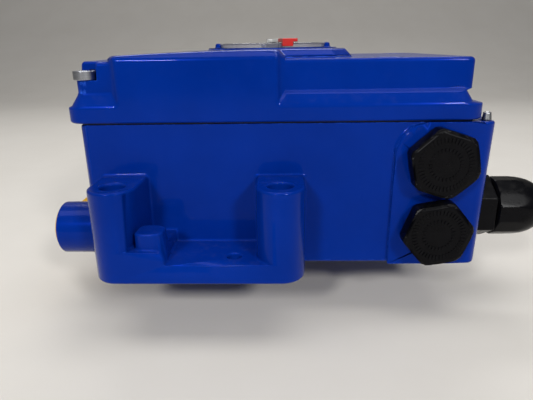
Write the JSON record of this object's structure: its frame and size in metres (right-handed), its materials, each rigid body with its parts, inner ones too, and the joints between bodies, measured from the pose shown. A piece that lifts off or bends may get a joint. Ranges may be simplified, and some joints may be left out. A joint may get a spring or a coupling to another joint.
{
  "type": "valve positioner",
  "caption": "Rotary valve positioner: die-cast housing and cover with a position indicator, feedback shaft, pilot valve, electronics, cable gland and lug foot.",
  "frame": {"origin": "on the feedback shaft's axis at the mounting face under the housing", "axes": "+Z along the feedback shaft towards the indicator, +X towards the cable gland, -Y towards the lug foot"},
  "size_m": [0.2091, 0.1175, 0.113],
  "materials": {
    "blue_paint": "gloss ultramarine paint on die-cast aluminium",
    "black_rubber": "matte black rubber",
    "grey_fibre": "light grey sealing fibre",
    "stainless_steel": "satin stainless steel",
    "plated_steel": "zinc-plated steel",
    "brass": "turned brass",
    "aluminium": "machined aluminium",
    "white_nylon": "natural nylon",
    "black_nylon": "moulded black nylon",
    "dark_plastic": "moulded dark grey plastic",
    "clear_plastic": "clear polycarbonate",
    "display_glass": "grey-green display glass",
    "red_plastic": "gloss red plastic",
    "yellow_plastic": "soft yellow plastic",
    "green_plastic": "green terminal plastic",
    "button_plastic": "grey button plastic",
    "board_laminate": "green solder resist on laminate",
    "copper_winding": "enamelled copper wire"
  },
  "bodies": {
    "housing": {"housing": "blue_paint", "cover": "blue_paint", "cover_gasket": "black_rubber", "cover_screws": "stainless_steel", "lock_screw": "plated_steel", "indicator_window": "clear_plastic", "lower_bush": "brass", "upper_bush": "brass", "shaft_seal": "black_rubber", "spindle_seal": "black_rubber", "potentiometer": "dark_plastic", "pot_bracket": "stainless_steel", "bracket_screws": "stainless_steel", "circuit_board": "board_laminate", "board_standoffs": "brass", "board_screws": "stainless_steel", "display_case": "dark_plastic", "display_glass": "display_glass", "terminal_block": "green_plastic", "terminal_screws": "stainless_steel", "button_switches": "dark_plastic", "electronics_shield": "dark_plastic", "valve_block": "aluminium", "block_gasket": "black_rubber", "block_screws": "stainless_steel", "spool_sleeve": "brass", "spool_end_caps": "aluminium", "coil_yoke": "plated_steel", "coil": "copper_winding", "coil_core": "plated_steel", "nozzle": "brass", "supply_cap": "yellow_plastic", "port_caps": "yellow_plastic", "exhaust_vent": "black_nylon", "vent_core": "brass", "entry_plug_lower": "black_nylon", "entry_plug_upper": "black_nylon", "entry_plug_side": "black_nylon", "plug_washers": "black_rubber", "gland_body": "black_nylon", "gland_nut": "black_nylon", "gland_seal": "black_rubber", "gland_washer": "grey_fibre"},
    "feedback_rotor": {"feedback_shaft": "stainless_steel", "shaft_clip": "stainless_steel", "main_gear": "white_nylon", "gear_screw": "stainless_steel", "pointer": "red_plastic", "pointer_screw": "stainless_steel"},
    "potentiometer_rotor": {"pot_pinion": "brass"},
    "spool": {"spool": "stainless_steel"},
    "flapper": {"flapper": "stainless_steel"},
    "button_1": {"push_button_1": "button_plastic"},
    "button_2": {"push_button_2": "button_plastic"},
    "button_3": {"push_button_3": "button_plastic"},
    "button_4": {"push_button_4": "button_plastic"}
  },
  "joints": [
    {"name": "feedback_shaft_turn", "type": "hinge", "parent": "housing", "child": "feedback_rotor", "pos_m": [0, 0, 0], "axis": [0, 0, 1], "range_deg": [-50, 50]},
    {"name": "potentiometer_turn", "type": "hinge", "parent": "housing", "child": "potentiometer_rotor", "pos_m": [0.03, 0, 0.02], "axis": [0, 0, 1], "range_deg": [-140, 140]},
    {"name": "spool_slide", "type": "slide", "parent": "housing", "child": "spool", "axis": [0, 1, 0], "range_m": [-0.0015, 0.0015]},
    {"name": "flapper_tilt", "type": "hinge", "parent": "housing", "child": "flapper", "pos_m": [-0.0477, 0.021, 0.0423], "axis": [1, 0, 0], "range_deg": [-1, 1], "stiffness_Nm_per_rad": 0.2},
    {"name": "push_button_1_press", "type": "slide", "parent": "housing", "child": "button_1", "axis": [0, 0, -1], "range_m": [0, 0.0008], "stiffness_N_per_m": 400, "springref_m": -0.001},
    {"name": "push_button_2_press", "type": "slide", "parent": "housing", "child": "button_2", "axis": [0, 0, -1], "range_m": [0, 0.0008], "stiffness_N_per_m": 400, "springref_m": -0.001},
    {"name": "push_button_3_press", "type": "slide", "parent": "housing", "child": "button_3", "axis": [0, 0, -1], "range_m": [0, 0.0008], "stiffness_N_per_m": 400, "springref_m": -0.001},
    {"name": "push_button_4_press", "type": "slide", "parent": "housing", "child": "button_4", "axis": [0, 0, -1], "range_m": [0, 0.0008], "stiffness_N_per_m": 400, "springref_m": -0.001}
  ],
  "couplings": [
    {"joint": "potentiometer_turn", "follows": "feedback_shaft_turn", "ratio": -2.75}
  ]
}
